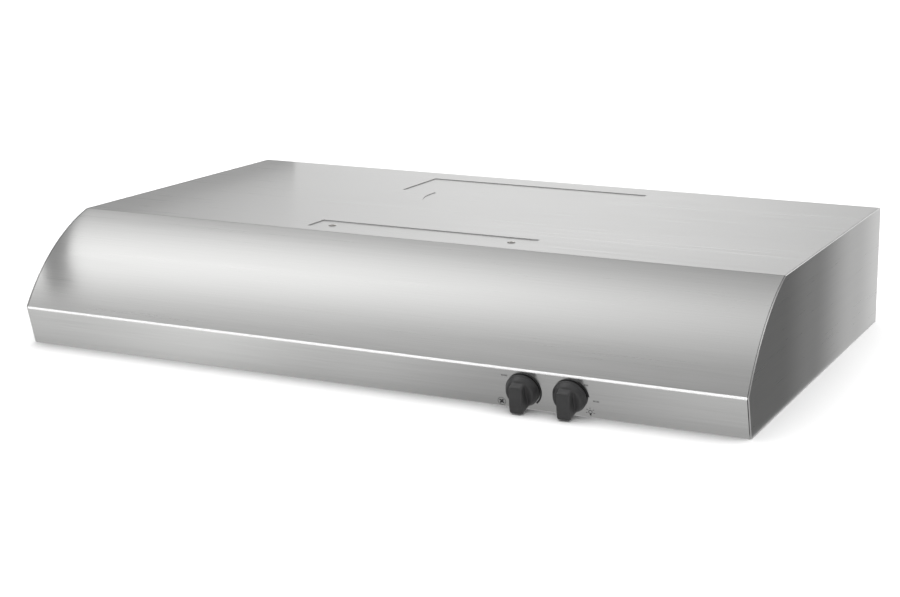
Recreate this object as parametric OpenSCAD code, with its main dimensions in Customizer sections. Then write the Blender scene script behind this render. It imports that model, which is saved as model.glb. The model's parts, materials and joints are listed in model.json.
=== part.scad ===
// Under-cabinet range hood with a curved front skin, two rotary knobs, two swing-down
// grease filters, two lamps and a twin-wheel centrifugal blower.
//
// Row frame: +X to the right as seen from the front, +Y to the wall, +Z up, origin at the
// bottom centre. The modules work in hood coordinates, whose y = 0 is the back face and
// whose front is at negative y; placed() moves a node into the row frame.

/* [Canopy] */
// Overall width
hood_w = 759; // [745:1:775]
// Height from the bottom rim to the top sheet
hood_h = 124; // [122:1:130]
// Depth of the flat top, from the back face to the front fold
top_d = 369; // [366:1:371]
// Depth at the nose, where the curved skin meets the control fascia
nose_d = 474; // [472:1:477]
// Height of the nose above the bottom rim
nose_z = 39.5; // [38:0.5:41]
// Depth of the fascia's bottom edge
foot_d = 462; // [460:1:465]
// Outside radius of the curved front skin
skin_r = 190; // [175:1:205]
// Thickness of the stainless sheet
sheet_t = 1; // [0.8:0.1:1]
// Thickness of the side panels
side_t = 1.2; // [1:0.1:1.4]
// Width of the flanges that form the bottom rim
rim_w = 12; // [10:1:13]

/* [Top sheet] */
// Width of the 3 1/4 by 10 inch duct knockout
duct_w = 260; // [254:1:264]
// Depth of the rectangular duct knockout
duct_d = 84; // [82:1:86]
// Radius of the 7 inch round duct knockout
round_r = 89.5; // [86:0.5:92]
// How far a knockout is pushed below the sheet
knockout_drop = 0.8; // [0.5:0.1:0.9]
// Width of the sunk pad that takes the two blower screws
pad_w = 241; // [236:1:246]
// Depth of the sunk pad, front to back
pad_d = 34; // [32:1:36]
// How far the pad is sunk
pad_drop = 0.8; // [0.8:0.1:1.2]
// Distance between the two screws in the pad
pad_screw_gap = 198; // [194:1:204]

/* [Back wall] */
// Radius of a wall screw hole
wall_hole_r = 2.5; // [2.2:0.1:3]
// Side-to-side spacing of the wall screw holes, which is that of the wall's studs
wall_gap_x = 406; // [400:1:410]
// Spacing of the two rows of wall screw holes
wall_gap_z = 60; // [50:1:64]
// Height of the rear duct knockout's bottom edge
rear_duct_z = 30; // [29:1:34]

/* [Knobs] */
// Position of the fan knob to the right of centre
fan_x = 170; // [165:1:172]
// Position of the light knob to the right of centre
light_x = 215.5; // [213:0.5:220]
// Outside radius of a knob's skirt
skirt_r = 16; // [15:0.5:16.5]
// Height of a knob from the fascia to the top of its grip
knob_h = 20.6; // [18:0.1:21]
// Width of a knob's grip
grip_w = 13; // [11:0.2:14]

/* [Blower] */
// Outside radius of a blower wheel
wheel_r = 40; // [36:1:41]
// Number of blades on each wheel
blade_count = 32; // [20:1:36]
// Radius of the motor's can
motor_r = 33; // [28:1:34]

/* [Filters] */
// Thickness of a filter frame
filter_t = 9; // [8:0.5:10]
// Height of a filter's underside above the bottom rim
filter_z = 12; // [11:0.5:14]

/* [Hidden] */
$fn = 64;
tiny = 0.01;
far = 600; // beyond the hood, for cutting shapes
panel_gap = 0.5; // between the side panels and the sheets that meet them
run_gap = 0.05; // radial clearance of a turning fit

inner_w = hood_w - 2 * side_t;
sheet_w = inner_w - 2 * panel_gap;
fold_r = 1.6; // outside radius of the fascia's top fold
ledge = 0.8; // how far the fascia stands out from the skin above it
lean = atan((nose_d - foot_d) / nose_z); // the fascia leans in at its foot
slant = sqrt(pow(nose_d - foot_d, 2) + pow(nose_z, 2));

// Circle of the curved skin, through the top fold and the nose, in (y, z).
fold_pt = [-top_d, hood_h];
nose_pt = [-nose_d, nose_z];
chord = nose_pt - fold_pt;
chord_l = norm(chord);
chord_n = [chord[1], -chord[0]] / chord_l; // unit normal of the chord, outwards
mid_pt = (fold_pt + nose_pt) / 2;
arc_c = mid_pt - chord_n * sqrt(skin_r * skin_r - chord_l * chord_l / 4);

// Top sheet: distances from the back face.
duct_back = 36; // to the rectangular knockout
round_y = 130; // to the middle of the round knockout
pad_back = 315.5; // to the sunk pad
wall_row_z = 74; // middle of the wall screw pattern

// Knobs: middle of the fascia, and how far forward their grips reach.
knob_s = slant / 2;
skirt_z = 0.6; // gap between the skirt and the fascia
grip_up = 11.5; // from the axis to the grip's blunt end
grip_down = 13.8; // from the axis to the pointing end
knob_front = nose_d + ledge - (knob_s - grip_up) * sin(lean) + knob_h * cos(lean);
back_y = knob_front / 2; // the back face, in the row frame

// Front compartment and filters.
riser_y = -345; // the wall between the front compartment and the filters
filter_gap = 3; // round each filter
hinge_y = -24; // the filters' hinge line
hinge_z = filter_z + filter_t / 2;
hinge_pin_r = 2.5;
rail_half = 8; // half the width of the centre rail
filter_x0 = rail_half + filter_gap;
filter_x1 = hood_w / 2 - 26;
filter_y0 = riser_y + filter_gap;
filter_y1 = hinge_y + 6;
ear_t = 2;
mesh_t = 1.2; // solid equivalent of the expanded-metal pack
pull_x = (filter_x0 + filter_x1) / 2;

// Blower: its axis runs along X.
plate_z = hood_h - sheet_t - pad_drop; // top of the blower plate, under the sunk pad
axis_y = -278;
axis_z = 70;
cap_x = -205; // the motor's capacitor, beside the left scroll
cap_z = 60;
scroll_wall = 1;
cutoff_r = wheel_r + 3.5; // the scroll's radius where it starts
mouth_r = plate_z - sheet_t - scroll_wall - axis_z; // and where it reaches its mouth
cutoff_a = 25; // angle of the cut-off above the rearward direction
mouth_y = -226; // where the scrolls hand over to the discharge box
scroll_x0 = 35;
scroll_x1 = 102;
wheel_x0 = 38;
wheel_x1 = 96;
inlet_r = wheel_r - 8;
shaft_r = 3.175;
motor_half = 27; // half the motor's length
bush_r = 7;
box_half = duct_w / 2 + 4; // half the width of the discharge box
box_y1 = -10;
box_z0 = 28;

// Lamps.
lamp_x = 250;
lamp_y = -402;
lamp_r = 33;
pan_z = sheet_t; // underside of the front pan, on the rim flanges
pan_screw_x = [-340, -120, 120, 340];
pan_screw_y = -foot_d + 8.5;
pad_screw_y = -336;
bracket_screw_y = [axis_y - 14, axis_y + 14];

// Wiring.
sides = 8; // facets round a loom
wire_box_x = 300;
wire_box_x0 = wire_box_x - 50;
wire_box_x1 = wire_box_x + 50;
wire_box_y = -62;
wire_box_z = 62;
entry_z = 96;
entry_r = 8; // bore of the cable entry bushing

// Routes of the looms, hand-laid, each held by what it passes.
switch_route = [
    [330, -59, 108], [342, -90, 112], [352, -140, 114], [354, -220, 114],
    [352, -300, 112], [330, -350, 108], [290, -362, 108], [250, -364, 108],
    [226, -396, 96], [205, -420, 76], [195, -432, 58], [192, -436, 44],
];
lamp_route = [
    [250, -402, 70], [250, -400, 80], [240, -380, 88], [200, -364, 92], [120, -360, 94],
    [0, -360, 94], [-120, -360, 94], [-200, -364, 92], [-240, -380, 88],
    [-250, -400, 80], [-250, -402, 70],
];
motor_route = [
    [250.5, -30, 100], [232, -44, 110], [190, -70, 115], [152, -110, 116],
    [146, -200, 116], [146, -320, 116], [120, -354, 112], [70, -356, 106],
    [30, -350, 98], [20, -330, 88], [16, -311.5, 80],
];
capacitor_route = [
    [-16, -311.5, 80], [-22, -330, 88], [-50, -350, 92], [-110, -354, 90],
    [-170, -352, 82], [-200, -350, 68],
];

// ---------------------------------------------------------------- helpers

function unit(v) = v / norm(v);

// Moves a node from hood coordinates into the row frame.
module placed() {
    translate([0, back_y, 0]) children();
}

// Extrudes an outline drawn in (y, z) along X, from x0 to x1.
module along_x(x0, x1) {
    translate([x0, 0, 0]) rotate([90, 0, 90]) linear_extrude(x1 - x0) children();
}

// Puts its children on the fascia at x, s down the slope: +Y up the slope, +Z outwards.
module on_fascia(x, s) {
    translate([x, -nose_d - ledge + s * sin(lean), nose_z - s * cos(lean)])
        rotate([90 + lean, 0, 0]) children();
}

// A block between two opposite corners.
module block(a, b) {
    translate(a) cube(b - a);
}

// A ring or tube, standing on z = 0.
module tube(r_out, r_in, h) {
    difference() {
        cylinder(r = r_out, h = h);
        translate([0, 0, -1]) cylinder(r = r_in, h = h + 2);
    }
}

// A wafer-head screw, its head standing on z = 0 and its shank going down.
module screw(length, head_r = 4, shank_r = 1.9) {
    rim = 0.3;
    difference() {
        union() {
            cylinder(r = head_r, h = rim);
            translate([0, 0, rim]) cylinder(r1 = head_r, r2 = head_r * 0.7, h = 0.4);
            translate([0, 0, -length]) cylinder(r = shank_r, h = length + rim / 2);
        }
        for (turn = [0, 90])
            rotate(turn) block([-head_r * 0.5, -0.45, rim], [head_r * 0.5, 0.45, 3]);
    }
}

// A round cable of radius r, with a given number of sides, swept through a list of points.
function heading(points, i) =
    unit(points[min(i + 1, len(points) - 1)] - points[max(i - 1, 0)]);
function ring(centre, along, r) =
    let (steady = abs(along[2]) > 0.9 ? [1, 0, 0] : [0, 0, 1])
    let (u = unit(cross(along, steady)), v = cross(along, u))
    [for (k = [0 : sides - 1])
        centre + r * (cos(k * 360 / sides) * u + sin(k * 360 / sides) * v)];

module cable(points, r) {
    count = len(points);
    rings = [for (i = [0 : count - 1]) each ring(points[i], heading(points, i), r)];
    skin = [for (i = [0 : count - 2], k = [0 : sides - 1])
        let (next = (k + 1) % sides)
        each [[i * sides + k, i * sides + next, (i + 1) * sides + k],
              [i * sides + next, (i + 1) * sides + next, (i + 1) * sides + k]]];
    start = [[for (k = [sides - 1 : -1 : 0]) k]];
    end = [[for (k = [0 : sides - 1]) (count - 1) * sides + k]];
    polyhedron(rings, concat(skin, start, end));
}

// ---------------------------------------------------------------- canopy

// Outline of the hood seen from its right side. The fascia's line runs on a little past
// the nose, so that the circle trims it.
module side_outline() {
    past_nose = nose_pt + unit(nose_pt - [-foot_d, 0]);
    intersection() {
        polygon([[0, 0], [0, hood_h], [-far, hood_h], [-far, past_nose[1]], past_nose,
                 [-foot_d, 0]]);
        union() {
            translate(arc_c) circle(r = skin_r, $fn = 180);
            translate([arc_c[0], -1]) square([-arc_c[0] + 1, hood_h + 2]);
        }
    }
}

// The two knockout outlines share one opening: a rectangle, and the rest of the circle.
module rect_knockout() {
    translate([-duct_w / 2, -duct_back - duct_d]) square([duct_w, duct_d]);
}

module round_knockout() {
    difference() {
        translate([0, -round_y]) circle(r = round_r, $fn = 120);
        translate([-round_r - 1, -duct_back - duct_d]) square([2 * round_r + 2, far]);
    }
}

module pad_area(grow) {
    translate([-pad_w / 2 - grow, -pad_back - pad_d - grow])
        square([pad_w + 2 * grow, pad_d + 2 * grow]);
}

// The four screw holes in the back wall.
module wall_holes() {
    for (x = [-1, 1], z = [-1, 1])
        translate([x * wall_gap_x / 2, 1, wall_row_z + z * wall_gap_z / 2])
            rotate([90, 0, 0]) cylinder(r = wall_hole_r, h = 5);
}

// Folded sheet: the flat top, the back wall and the back wall's bottom flange.
module canopy_top_and_back() {
    half = sheet_w / 2;
    front = -top_d + 1;
    color("silver") union() {
        translate([0, 0, hood_h - sheet_t]) linear_extrude(sheet_t) difference() {
            translate([-half, front]) square([sheet_w, -front]);
            rect_knockout();
            round_knockout();
            pad_area(0);
        }
        // knockouts, half sheared down, still held all round
        translate([0, 0, hood_h - sheet_t - knockout_drop]) linear_extrude(sheet_t)
            rect_knockout();
        translate([0, 0, hood_h - sheet_t - knockout_drop * 0.75])
            linear_extrude(sheet_t) round_knockout();
        // sunk pad with its walls
        translate([0, 0, hood_h - sheet_t - pad_drop]) linear_extrude(sheet_t)
            difference() {
                pad_area(0);
                for (x = [-1, 1])
                    translate([x * pad_screw_gap / 2, pad_screw_y]) circle(r = 2);
            }
        translate([0, 0, hood_h - sheet_t - pad_drop])
            linear_extrude(pad_drop + sheet_t / 2) difference() {
                pad_area(sheet_t);
                pad_area(0);
            }
        // back wall, with the rear duct knockout pushed in and the cable entry hole
        difference() {
            block([-half, -sheet_t, 0], [half, 0, hood_h - sheet_t / 2]);
            block([-duct_w / 2, -5, rear_duct_z], [duct_w / 2, 5, rear_duct_z + duct_d]);
            translate([wire_box_x, 1, entry_z]) rotate([90, 0, 0])
                cylinder(r = entry_r + 3, h = 5);
            wall_holes();
        }
        block([-duct_w / 2, -sheet_t - knockout_drop, rear_duct_z],
              [duct_w / 2, -knockout_drop, rear_duct_z + duct_d]);
        block([-half + rim_w, -rim_w, 0], [half - rim_w, -sheet_t / 2, sheet_t]);
    }
}

// One side panel, for side = -1 (left) or 1 (right): plate and inward flanges.
module side_panel(side) {
    inner = hood_w / 2 - side_t;
    color("silver") sided(side) union() {
        along_x(inner, hood_w / 2) side_outline();
        // top, back and bottom flanges
        block([inner - rim_w, -top_d + 18, hood_h - 2 * sheet_t],
              [inner + tiny, -2 * sheet_t, hood_h - sheet_t]);
        block([inner - rim_w, -2 * sheet_t, sheet_t],
              [inner + tiny, -sheet_t, hood_h - sheet_t]);
        block([inner - rim_w, -foot_d + 14, 0], [inner + tiny, -sheet_t, sheet_t]);
        // curved flange behind the skin
        along_x(inner - 8, inner + tiny) intersection() {
            translate(arc_c) difference() {
                circle(r = skin_r - sheet_t - 0.05, $fn = 180);
                circle(r = skin_r - 2 * sheet_t, $fn = 180);
            }
            translate([-far, nose_z + 6])
                square([far - top_d, hood_h - 2 * sheet_t - nose_z - 9]);
        }
    }
}

// The curved skin, with a flange that tucks under the top sheet.
module front_skin() {
    foot_z = nose_z + 0.6;
    tuck_y = -top_d + 17;
    color("gainsboro") along_x(-sheet_w / 2, sheet_w / 2) difference() {
        intersection() {
            translate(arc_c) circle(r = skin_r, $fn = 180);
            polygon([[-far, foot_z], [-far, hood_h], [-top_d + 0.6, hood_h],
                     [-top_d + 0.9, hood_h - sheet_t], [tuck_y, hood_h - sheet_t],
                     [tuck_y, foot_z]]);
        }
        intersection() {
            translate(arc_c) circle(r = skin_r - sheet_t, $fn = 180);
            translate([-far, 0]) square([far, hood_h - 2 * sheet_t]);
        }
    }
}

// Outline of the fascia: folded top, sloping face and bottom flange.
module fascia_outline() {
    down = [sin(lean), -cos(lean)];
    inward = [cos(lean), sin(lean)];
    head = nose_pt - [ledge, 0];
    foot = [-foot_d - ledge, 0];
    fold_c = head + (down + inward) * fold_r;
    translate(fold_c) circle(r = fold_r, $fn = 48);
    polygon([head + down * fold_r, foot, foot + [sheet_t / cos(lean), 0],
             head + down * fold_r + inward * sheet_t]);
    polygon([fold_c, fold_c + [0, fold_r], fold_c + [14, fold_r],
             fold_c + [14, fold_r - sheet_t], fold_c + [0, fold_r - sheet_t]]);
}

module control_fascia() {
    color("gainsboro") union() {
        difference() {
            along_x(-sheet_w / 2, sheet_w / 2) fascia_outline();
            for (x = [fan_x, light_x])
                on_fascia(x, knob_s) translate([0, 0, -8]) cylinder(r = 5, h = 16);
        }
        difference() {
            block([-sheet_w / 2 + rim_w, -foot_d, 0],
                  [sheet_w / 2 - rim_w, -foot_d + rim_w, sheet_t]);
            for (x = pan_screw_x) translate([x, pan_screw_y, 0]) countersunk(0.03);
        }
    }
}

// ---------------------------------------------------------------- underside

// The floor of the front compartment and the riser behind it.
module front_pan() {
    half = sheet_w / 2 - 1;
    color("silver") union() {
        difference() {
            block([-half, -foot_d + 5, pan_z], [half, riser_y, pan_z + sheet_t]);
            for (x = [-1, 1])
                translate([x * lamp_x, lamp_y, -1]) cylinder(r = lamp_r - 2, h = 9);
            for (x = pan_screw_x) translate([x, pan_screw_y, 0]) countersunk(0.03);
        }
        block([-half, riser_y - sheet_t, pan_z], [half, riser_y, 40]);
        block([-half, riser_y - 12, 40 - sheet_t], [half, riser_y, 40]);
    }
}

// Angle behind the filters with one ear for each hinge pin.
module rear_filter_rail() {
    half = filter_x1 + 5;
    color("silver") difference() {
        union() {
            block([-half, -2 * sheet_t, 5], [half, -sheet_t, 27]);
            block([-half, -14, 27], [half, -sheet_t, 28]);
            for (x = ear_places())
                block([x - ear_t / 2, hinge_y - 6, hinge_z - 6],
                      [x + ear_t / 2, -sheet_t - 0.5, 27.5]);
        }
        for (x = ear_places())
            translate([x - ear_t, hinge_y, hinge_z]) rotate([0, 90, 0])
                cylinder(r = hinge_pin_r + run_gap, h = 2 * ear_t);
    }
}

// Where the ears stand: outside both ends of each filter.
function ear_places() = [for (side = [-1, 1], x = [filter_x0 - 4, filter_x1 + 4]) side * x];

module centre_filter_rail() {
    color("silver") {
        block([-rail_half + 1.5, riser_y, filter_z], [rail_half - 1.5, hinge_y - 8, filter_z + 1]);
        block([-0.5, riser_y, filter_z + 1], [0.5, hinge_y - 8, box_z0 - 0.5]);
    }
}

// One side rail: an angle between a filter and the side panel.
module side_filter_rail(side) {
    color("silver") sided(side) {
        block([filter_x1 + filter_gap, riser_y, filter_z],
              [inner_w / 2, hinge_y - 8, filter_z + 1]);
        block([inner_w / 2 - 1, riser_y, filter_z + 1], [inner_w / 2, hinge_y - 8, 34]);
    }
}

// ---------------------------------------------------------------- fasteners

// Countersunk screw, flush with the underside; gap is added for its hole.
module countersunk(gap) {
    translate([0, 0, -tiny]) cylinder(r1 = 3 + gap, r2 = 1.5 + gap, h = 1.2);
    cylinder(r = 1.5 + gap, h = 6);
}

module pan_screws() {
    color("gray") for (x = pan_screw_x) translate([x, pan_screw_y, 0.02])
        countersunk(0);
}

// Two screws in the sunk pad, and two more that hang the motor bracket on the plate.
module blower_screws() {
    color("gray") {
        for (x = [-1, 1])
            translate([x * pad_screw_gap / 2, pad_screw_y, hood_h - pad_drop]) screw(6);
        for (y = bracket_screw_y)
            translate([0, y, plate_z]) screw(5, 3.6);
    }
}

// ---------------------------------------------------------------- blower

// Puts its children at the blower's axis, at x, with their +Z along +X.
module on_axis(x) {
    translate([x, axis_y, axis_z]) rotate([90, 0, 90]) children();
}

// Mirrors a right-hand piece for the left side.
module sided(side) {
    mirror([side < 0 ? 1 : 0, 0, 0]) children();
}

// Outline of a scroll in (y, z) about the axis, opening towards the rear at the top.
module scroll_outline(grow) {
    turn = 270 + cutoff_a; // from the cut-off round below and in front to the top
    curl = [for (a = [0 : 5 : turn])
        let (r = cutoff_r + (mouth_r - cutoff_r) * a / turn + grow)
        [r * cos(cutoff_a - a), r * sin(cutoff_a - a)]];
    out = mouth_y - axis_y + (grow > 0 ? 0 : 5);
    lip_z = cutoff_r * sin(cutoff_a) - grow;
    polygon(concat(curl, [[0, mouth_r + grow], [out, mouth_r + grow], [out, lip_z]]));
}

module scroll(side) {
    color("gray") sided(side) difference() {
        on_axis(scroll_x0) linear_extrude(scroll_x1 - scroll_x0)
            scroll_outline(scroll_wall);
        on_axis(scroll_x0 + scroll_wall)
            linear_extrude(scroll_x1 - scroll_x0 - 2 * scroll_wall) scroll_outline(0);
        on_axis(scroll_x1 - 5) cylinder(r = inlet_r + 1, h = 10);
        on_axis(scroll_x0 - 5) cylinder(r = 14, h = 10);
    }
}

// Rolled ring that guides the air into a wheel.
module inlet_ring(side) {
    color("darkgray") sided(side) {
        on_axis(scroll_x1) tube(inlet_r + 5, inlet_r - 1, 1.2);
        on_axis(wheel_x1 + 0.6) tube(inlet_r, inlet_r - 1, scroll_x1 - wheel_x1);
    }
}

// The sheet that carries the scrolls and the motor, screwed up to the sunk pad.
module blower_plate() {
    color("silver") difference() {
        block([-box_half, -349, plate_z - sheet_t], [box_half, mouth_y, plate_z]);
        for (x = [-1, 1])
            translate([x * pad_screw_gap / 2, pad_screw_y, plate_z - 5])
                cylinder(r = 2, h = 10);
        for (y = bracket_screw_y)
            translate([0, y, plate_z - 5]) cylinder(r = 2, h = 10);
    }
}

// Folded box behind the scrolls, open to all three duct knockouts.
module discharge_box() {
    color("silver") difference() {
        block([-box_half, mouth_y, box_z0], [box_half, box_y1, plate_z]);
        block([-box_half + sheet_t, mouth_y + sheet_t, box_z0 + sheet_t],
              [box_half - sheet_t, 0, hood_h]);
        for (side = [-1, 1])
            sided(side)
                block([scroll_x0 + 1, mouth_y - 1, axis_z + 20],
                      [scroll_x1 - 1, mouth_y + 2, plate_z - 2]);
    }
}

// Forward-curved wheel: blades between a back plate, on its hub, and an outer ring.
module blower_wheel(side) {
    blade_d = 8; // radial depth of a blade
    color("dimgray") sided(side) {
        on_axis(wheel_x0 + 0.5) linear_extrude(wheel_x1 - wheel_x0 - 1)
            for (i = [0 : blade_count - 1])
                rotate(i * 360 / blade_count) translate([wheel_r - blade_d, 0])
                    rotate(30) translate([0, -0.4]) square([blade_d, 0.8]);
        on_axis(wheel_x1 - 1.5) tube(wheel_r, wheel_r - blade_d + 0.5, 1.5);
        on_axis(wheel_x0) tube(wheel_r, shaft_r + 0.02, 1.5);
        on_axis(wheel_x0 + 1.4) difference() {
            tube(9, shaft_r + 0.02, 16);
            translate([0, 0, 10]) rotate([0, 90, 0]) cylinder(r = 2.02, h = 20);
        }
    }
}

module wheel_clamp_screws() {
    color("black") for (side = [-1, 1])
        sided(side) on_axis(wheel_x0 + 11.4) rotate([0, 90, 0])
            translate([0, 0, shaft_r + 0.1]) cylinder(r = 2, h = 6.2);
}

module motor_can() {
    color("gray") on_axis(-motor_half) difference() {
        cylinder(r = motor_r, h = 2 * motor_half - 2);
        translate([0, 0, 2]) cylinder(r = motor_r - 2, h = 80);
        translate([0, 0, -1]) cylinder(r = bush_r + 0.02, h = 10);
        for (turn = [15 : 30 : 345])
            rotate(turn) translate([21, 0, -1]) cylinder(r = 3, h = 5);
    }
}

module motor_end_cap() {
    color("silver") on_axis(motor_half - 2) difference() {
        cylinder(r = motor_r, h = 2);
        translate([0, 0, -1]) cylinder(r = bush_r + 0.02, h = 10);
        for (turn = [15 : 30 : 345])
            rotate(turn) translate([21, 0, -1]) cylinder(r = 3, h = 5);
    }
}

module motor_shaft() {
    reach = wheel_x0 + 19;
    color("silver") on_axis(-reach) cylinder(r = shaft_r, h = 2 * reach);
}

module motor_bushes() {
    color("peru") for (side = [-1, 1])
        sided(side) on_axis(motor_half - 5) tube(bush_r, shaft_r + run_gap, 8);
}

// Band round the motor with a tab folded against the blower plate.
module motor_bracket() {
    tab_z = plate_z - sheet_t;
    color("silver") difference() {
        union() {
            on_axis(-8) tube(motor_r + 1.7, motor_r + 0.2, 16);
            block([-8, axis_y - 20, axis_z + motor_r + 0.6], [8, axis_y - 18.5, tab_z]);
            block([-8, axis_y + 18.5, axis_z + motor_r + 0.6], [8, axis_y + 20, tab_z]);
            block([-8, axis_y - 20, axis_z + motor_r + 0.6],
                  [8, axis_y + 20, axis_z + motor_r + 1.7]);
            block([-8, axis_y - 20, tab_z - 1.5], [8, axis_y + 20, tab_z]);
        }
        for (y = bracket_screw_y)
            translate([0, y, tab_z - 5]) cylinder(r = 1.95, h = 8);
    }
}

module motor_capacitor() {
    color("lightgray") translate([cap_x, -300, cap_z]) rotate([90, 0, 0])
        translate([0, 0, -10]) union() {
            cylinder(r = 15, h = 42);
            translate([0, 0, 42 - tiny]) cylinder(r = 12.5, h = 3);
            for (x = [-5, 5])
                block([x - 0.4, -3, 44], [x + 0.4, 3, 52]);
        }
}

// Band and strap that hang the capacitor from the top sheet.
module capacitor_clip() {
    color("silver") difference() {
        union() {
            translate([cap_x, -306, cap_z]) rotate([90, 0, 0]) cylinder(r = 16.2, h = 12);
            block([cap_x - 0.6, -318, cap_z + 15.5],
                  [cap_x + 0.6, -306, hood_h - sheet_t]);
            block([cap_x - 9, -318, hood_h - 2 * sheet_t],
                  [cap_x + 9, -306, hood_h - sheet_t]);
        }
        translate([cap_x, -305, cap_z]) rotate([90, 0, 0]) cylinder(r = 15.1, h = 14);
    }
}

// ---------------------------------------------------------------- filters

module filter_frame(side) {
    color("lightgray") sided(side) difference() {
        union() {
            block([filter_x0, filter_y0, filter_z],
                  [filter_x1, filter_y1, filter_z + filter_t]);
            for (x = [filter_x0 - 6, filter_x1 - 1])
                translate([x, hinge_y, hinge_z]) rotate([0, 90, 0])
                    cylinder(r = hinge_pin_r, h = 7);
        }
        block([filter_x0 + 10, filter_y0 + 10, filter_z - 1],
              [filter_x1 - 10, filter_y1 - 12, filter_z + 20]);
        block([filter_x0 + 1, filter_y0 + 1, filter_z + 1],
              [filter_x1 - 1, filter_y1 - 9, filter_z + filter_t - 1]);
    }
}

// The pack of expanded metal held in the frame's channel.
module filter_mesh(side) {
    color("gainsboro") sided(side)
        block([filter_x0 + 2, filter_y0 + 2, filter_z + 1.2],
              [filter_x1 - 2, filter_y1 - 10, filter_z + 1.2 + mesh_t]);
}

// Steel clip round the frame's front rail: a striker for the magnet above, and below
// a loop to pull the filter down by.
module filter_pull(side) {
    top = filter_z + filter_t;
    y0 = filter_y0 - 1.3;
    y1 = filter_y0 + 9;
    color("silver") sided(side) translate([pull_x, 0, 0]) {
        block([-25, y0, top + 0.1], [25, y1, top + 1.1]);
        block([-25, y0, filter_z - 1.1], [25, y0 + 1, top + 1.1]);
        block([-25, y0, filter_z - 1.1], [25, y1, filter_z - 0.1]);
        for (x = [-15, 14])
            block([x, y0 + 2, filter_z - 7], [x + 1, y1 - 1, filter_z - 1]);
        block([-15, y0 + 2, filter_z - 7], [15, y1 - 1, filter_z - 6]);
    }
}

// Magnets above the filters' strikers, on the riser.
module filter_magnets() {
    color([0.2, 0.2, 0.2]) for (side = [-1, 1])
        sided(side) block([pull_x - 16, riser_y, filter_z + filter_t + 1.6],
                          [pull_x + 16, riser_y + 11, filter_z + filter_t + 10]);
}

// ---------------------------------------------------------------- lamps

module at_lamp(side) {
    translate([side * lamp_x, lamp_y, pan_z]) children();
}

module lamp_can(side) {
    color("silver") at_lamp(side) difference() {
        union() {
            translate([0, 0, sheet_t]) cylinder(r = lamp_r + 3, h = 1);
            translate([0, 0, sheet_t]) cylinder(r = lamp_r - 1, h = 58);
        }
        translate([0, 0, -1]) cylinder(r = lamp_r - 2, h = 59);
        cylinder(r = 15, h = 80);
    }
}

module lamp_trim(side) {
    color("lightgray") at_lamp(side) difference() {
        union() {
            translate([0, 0, -0.6]) cylinder(r1 = lamp_r - 1, r2 = lamp_r + 1, h = 0.6);
            cylinder(r = lamp_r - 2.1, h = 6);
        }
        translate([0, 0, -1]) cylinder(r = lamp_r - 6, h = 20);
        translate([0, 0, 2]) cylinder(r = lamp_r - 4, h = 20);
    }
}

module lamp_lens(side) {
    color("white", 0.6) at_lamp(side) translate([0, 0, 2.02])
        cylinder(r = lamp_r - 4.1, h = 2.5);
}

module lamp_bulb(side) {
    color("white") at_lamp(side) translate([0, 0, 9]) {
        difference() {
            cylinder(r1 = 24, r2 = 10, h = 30);
            translate([0, 0, -tiny]) cylinder(r1 = 22.5, r2 = 22, h = 1);
        }
        translate([0, 0, 30 - tiny]) cylinder(r = 10, h = 12);
        for (x = [-5, 5])
            translate([x, 0, 41]) cylinder(r = 1.5, h = 6);
    }
}

module lamp_socket(side) {
    color("beige") at_lamp(side) difference() {
        union() {
            translate([0, 0, 51.2]) cylinder(r = 13, h = 16);
            translate([0, 0, sheet_t + 58]) cylinder(r = 19, h = 2);
        }
        for (x = [-5, 5])
            translate([x, 0, 50]) cylinder(r = 1.8, h = 7.5);
    }
}

// ---------------------------------------------------------------- controls

// Skirt, crown and grip; the pointing end of the grip is down at rest.
module knob(x) {
    color([0.13, 0.13, 0.14]) on_fascia(x, knob_s) difference() {
        union() {
            translate([0, 0, skirt_z]) cylinder(r = skirt_r, h = 3);
            translate([0, 0, skirt_z + 3 - tiny])
                cylinder(r1 = skirt_r - 0.6, r2 = skirt_r - 2.6, h = 4.5);
            intersection() {
                translate([0, 0, skirt_z + 3])
                    linear_extrude(knob_h - skirt_z - 3) grip_outline();
                translate([0, 0, -8]) cylinder(r1 = skirt_r + 5, r2 = grip_down - 0.2, h = knob_h + 8);
            }
        }
        translate([0, 0, -1]) cylinder(r = 3.02, h = 13);
        translate([0, 0, -1]) cylinder(r = 7.6, h = 4.8);
    }
}

module grip_outline() {
    translate([-grip_w / 2, -grip_down]) square([grip_w, grip_down]);
    intersection() {
        translate([-grip_w / 2, -1]) square([grip_w, grip_up + 1]);
        circle(r = grip_up + 0.2);
    }
}

module switch_shaft(x) {
    color("silver") on_fascia(x, knob_s) translate([0, 0, -14]) cylinder(r = 3, h = 25.5);
}

module rotary_switch(x) {
    color("saddlebrown") on_fascia(x, knob_s) difference() {
        union() {
            translate([-13, -12, -22]) cube([26, 24, 20]);
            translate([0, 0, -2 - tiny]) cylinder(r = 4.9, h = 4);
            for (px = [-8, 0, 8])
                translate([px - 1.5, -4, -28]) cube([3, 0.8, 6.5]);
        }
        translate([0, 0, -14.1]) cylinder(r = 3 + run_gap, h = 30);
    }
}

module switch_nut(x) {
    color("silver") on_fascia(x, knob_s) difference() {
        translate([0, 0, 0.02]) cylinder(r = 7, h = 1.9, $fn = 6);
        translate([0, 0, -1]) cylinder(r = 4.92, h = 10);
    }
}

// ---------------------------------------------------------------- wiring

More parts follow.
